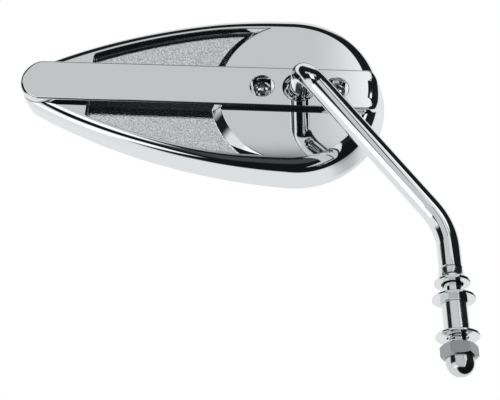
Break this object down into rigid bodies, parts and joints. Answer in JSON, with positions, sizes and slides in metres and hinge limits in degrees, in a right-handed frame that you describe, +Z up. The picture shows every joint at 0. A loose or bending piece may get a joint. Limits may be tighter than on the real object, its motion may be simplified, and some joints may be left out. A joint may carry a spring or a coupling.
{
  "type": "motorcycle mirror",
  "caption": "Teardrop motorcycle mirror with a decorated chrome back and clamp bar, held by a ball joint on a bent rod with a threaded mounting stud.",
  "frame": {"origin": "centre of the seat under the cone washer, where the mirror rests on the lever perch, on the stud's axis", "axes": "+Z up along the stud's axis, -Y out of the decorated back of the head at rest, +X towards the stud from the head"},
  "size_m": [0.2027, 0.0548, 0.1867],
  "materials": {
    "polished_bar": "polished chrome plate",
    "cast_shell": "chrome plate, polished on the rim and the disc and grainy on the pocket floors",
    "bent_rod": "polished chrome plate, bare thread at the lower end",
    "turned_washers": "chrome plate over turned and stamped steel",
    "domed_nut": "chrome plate, dull on the flats",
    "cross_screws": "chrome plate over a rolled thread",
    "spring_steel": "zinc-plated spring steel",
    "nylon_seat": "natural nylon",
    "foam_pad": "closed-cell foam",
    "convex_mirror": "back-silvered convex glass"
  },
  "bodies": {
    "arm": {"stem": "bent_rod", "cone_washer": "turned_washers", "upper_washer": "turned_washers", "lock_washer": "spring_steel", "spacer_sleeve": "turned_washers", "lower_washer": "turned_washers", "acorn_nut": "domed_nut"},
    "seat": {"ball_seat": "nylon_seat"},
    "spring": {"seat_spring": "spring_steel"},
    "head": {"housing": "cast_shell", "clamp_bar": "polished_bar", "clamp_screw_left": "cross_screws", "clamp_screw_right": "cross_screws", "tip_screw": "spring_steel", "backing_pad": "foam_pad", "mirror_glass": "convex_mirror"}
  },
  "joints": [
    {"name": "head_spin", "type": "hinge", "parent": "arm", "child": "seat", "pos_m": [-0.061, 0.0075, 0.103], "axis": [0.0259, -0.9329, -0.3592], "continuous": true},
    {"name": "head_tilt", "type": "hinge", "parent": "seat", "child": "spring", "pos_m": [-0.061, 0.0075, 0.103], "axis": [0.9994, 0, -0.0349], "range_deg": [-2.5, 29.5]},
    {"name": "head_pan", "type": "hinge", "parent": "spring", "child": "head", "pos_m": [-0.061, 0.0075, 0.103], "axis": [0.0346, -0.1271, 0.9913], "range_deg": [-9, 13]}
  ]
}
